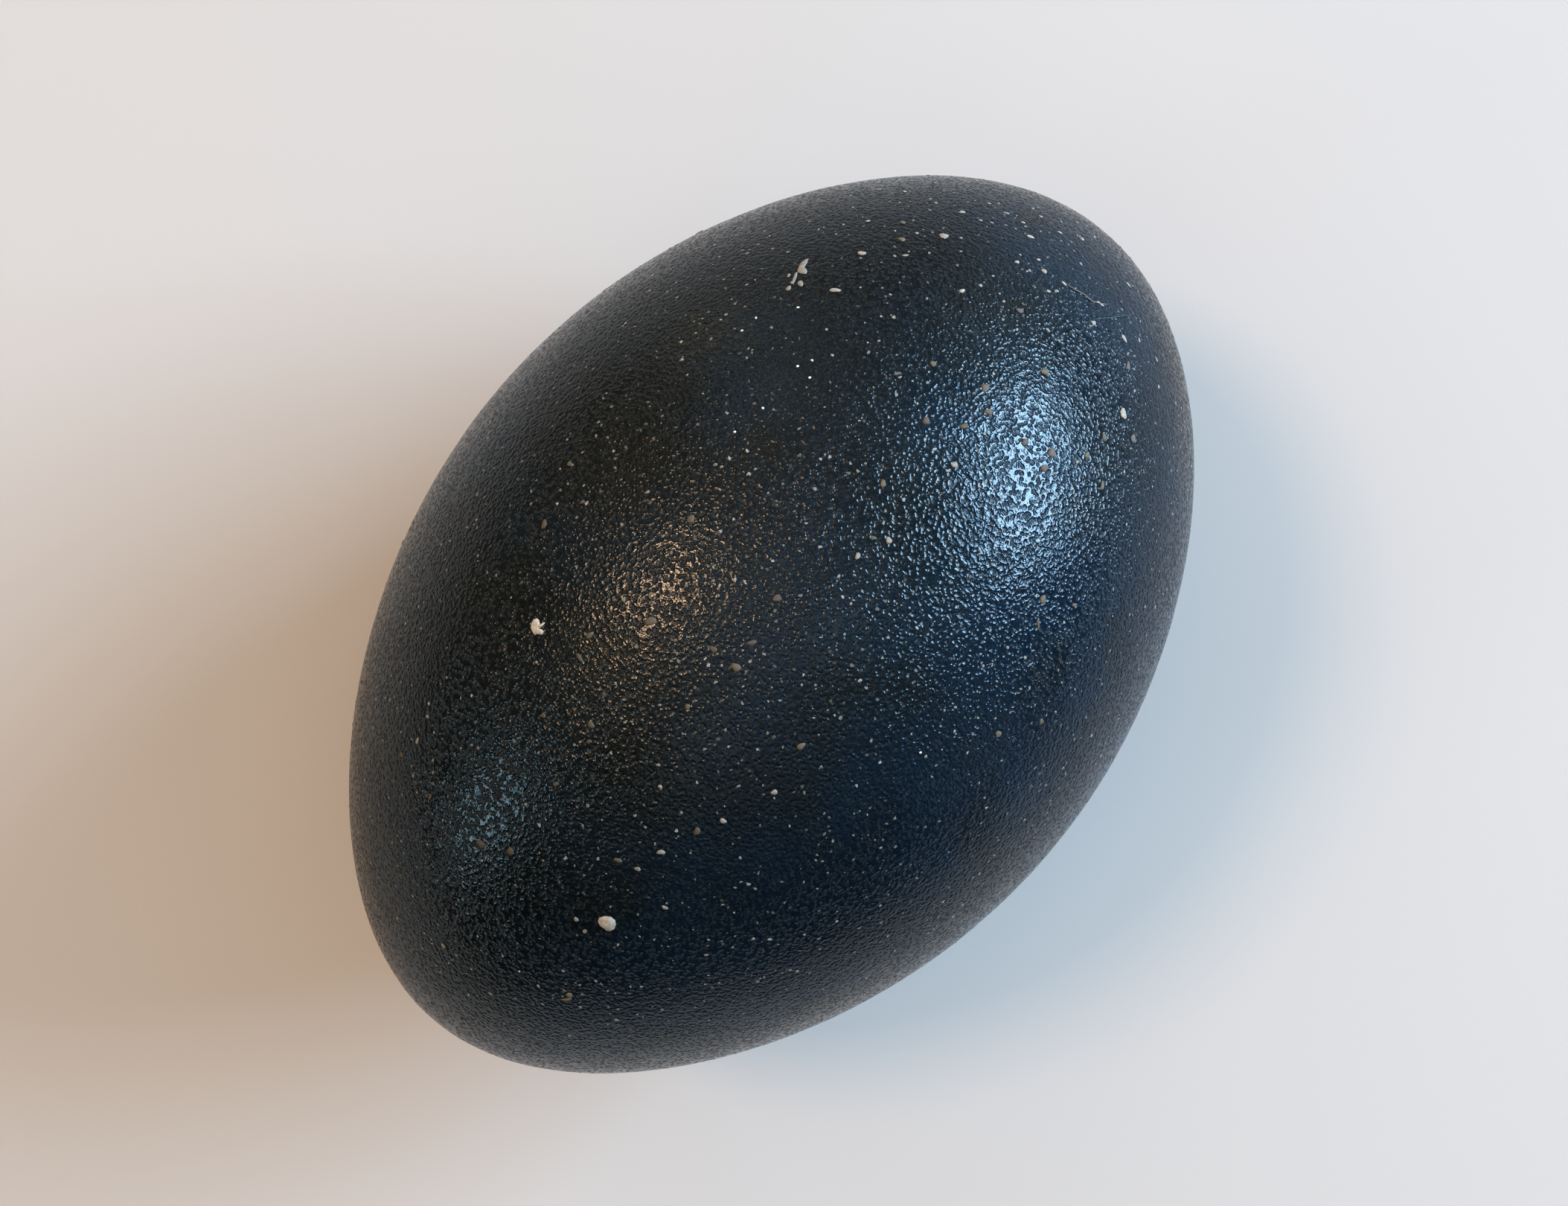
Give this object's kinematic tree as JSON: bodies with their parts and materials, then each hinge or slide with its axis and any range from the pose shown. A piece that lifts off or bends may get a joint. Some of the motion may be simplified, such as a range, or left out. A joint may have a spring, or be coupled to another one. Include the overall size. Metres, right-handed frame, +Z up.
{
  "type": "emu egg",
  "caption": "Whole emu egg with a finely pebbled, near-black blue-green shell, lying on its side on a small flat resting spot.",
  "frame": {"origin": "middle of the small flat spot that the egg rests on, straight below its centre of mass", "axes": "+X along the egg's long axis, towards its blunter end; +Y across it; +Z up from the surface it rests on"},
  "size_m": [0.13, 0.09, 0.0896],
  "materials": {
    "shell": "satin eggshell, finely pebbled, near-black blue-green with pale mineral specks"
  },
  "bodies": {
    "root": {"egg": "shell"}
  },
  "joints": []
}
